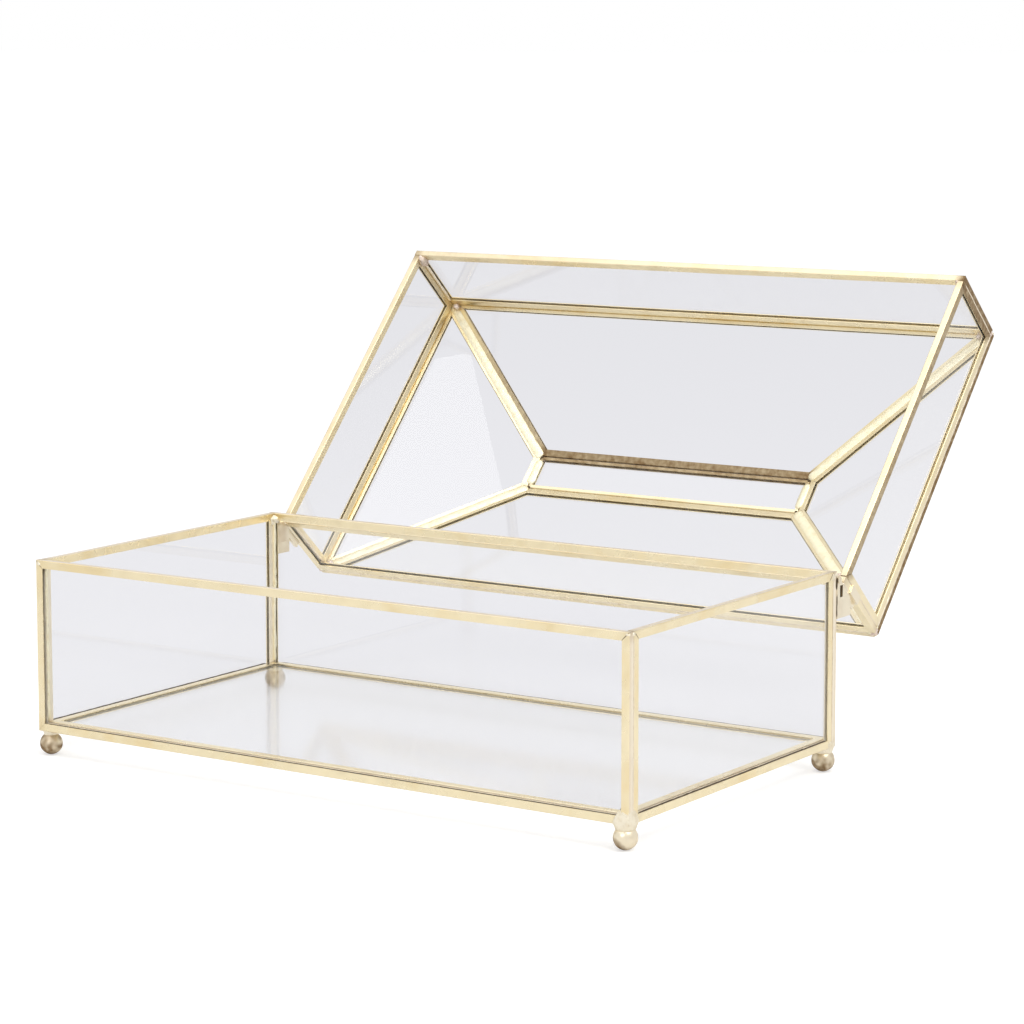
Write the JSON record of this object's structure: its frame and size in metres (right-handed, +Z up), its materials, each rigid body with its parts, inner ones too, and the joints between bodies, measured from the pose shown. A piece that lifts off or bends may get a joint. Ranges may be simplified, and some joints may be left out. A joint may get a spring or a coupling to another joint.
{
  "type": "glass card box",
  "caption": "Rectangular glass box in a pale brass frame on ball feet, with a hinged hipped glass lid that stands open.",
  "frame": {"origin": "on the surface the ball feet stand on, under the middle of the base", "axes": "+X along the long side to the right seen from the front, -Y out of the front, +Y to the hinges and the open lid, +Z up"},
  "size_m": [0.3024, 0.3167, 0.2022],
  "materials": {
    "brass": "satin",
    "solder": "satin",
    "glass": "gloss"
  },
  "bodies": {
    "base": {"base_floor_glass": "glass", "base_front_glass": "glass", "base_back_glass": "glass", "base_left_glass": "glass", "base_right_glass": "glass", "base_floor_came": "brass", "base_front_came": "brass", "base_back_came": "brass", "base_left_came": "brass", "base_right_came": "brass", "base_corner_solder": "solder", "ball_feet": "brass", "foot_solder": "solder", "hinge_brackets": "brass", "hinge_pins": "brass"},
    "lid": {"hinge_straps": "brass", "skirt_front_glass": "glass", "skirt_back_glass": "glass", "skirt_left_glass": "glass", "skirt_right_glass": "glass", "roof_front_glass": "glass", "roof_back_glass": "glass", "roof_left_glass": "glass", "roof_right_glass": "glass", "roof_top_glass": "glass", "skirt_front_came": "brass", "skirt_back_came": "brass", "skirt_left_came": "brass", "skirt_right_came": "brass", "roof_front_came": "brass", "roof_back_came": "brass", "roof_left_came": "brass", "roof_right_came": "brass", "roof_top_came": "brass", "skirt_corner_solder": "solder", "eave_solder": "solder", "hip_solder": "solder", "crown_solder": "solder"}
  },
  "joints": [
    {"name": "lid_hinge", "type": "hinge", "parent": "base", "child": "lid", "pos_m": [0, 0.0847, 0.0815], "axis": [1, 0, 0], "range_deg": [0, 132.5]}
  ]
}
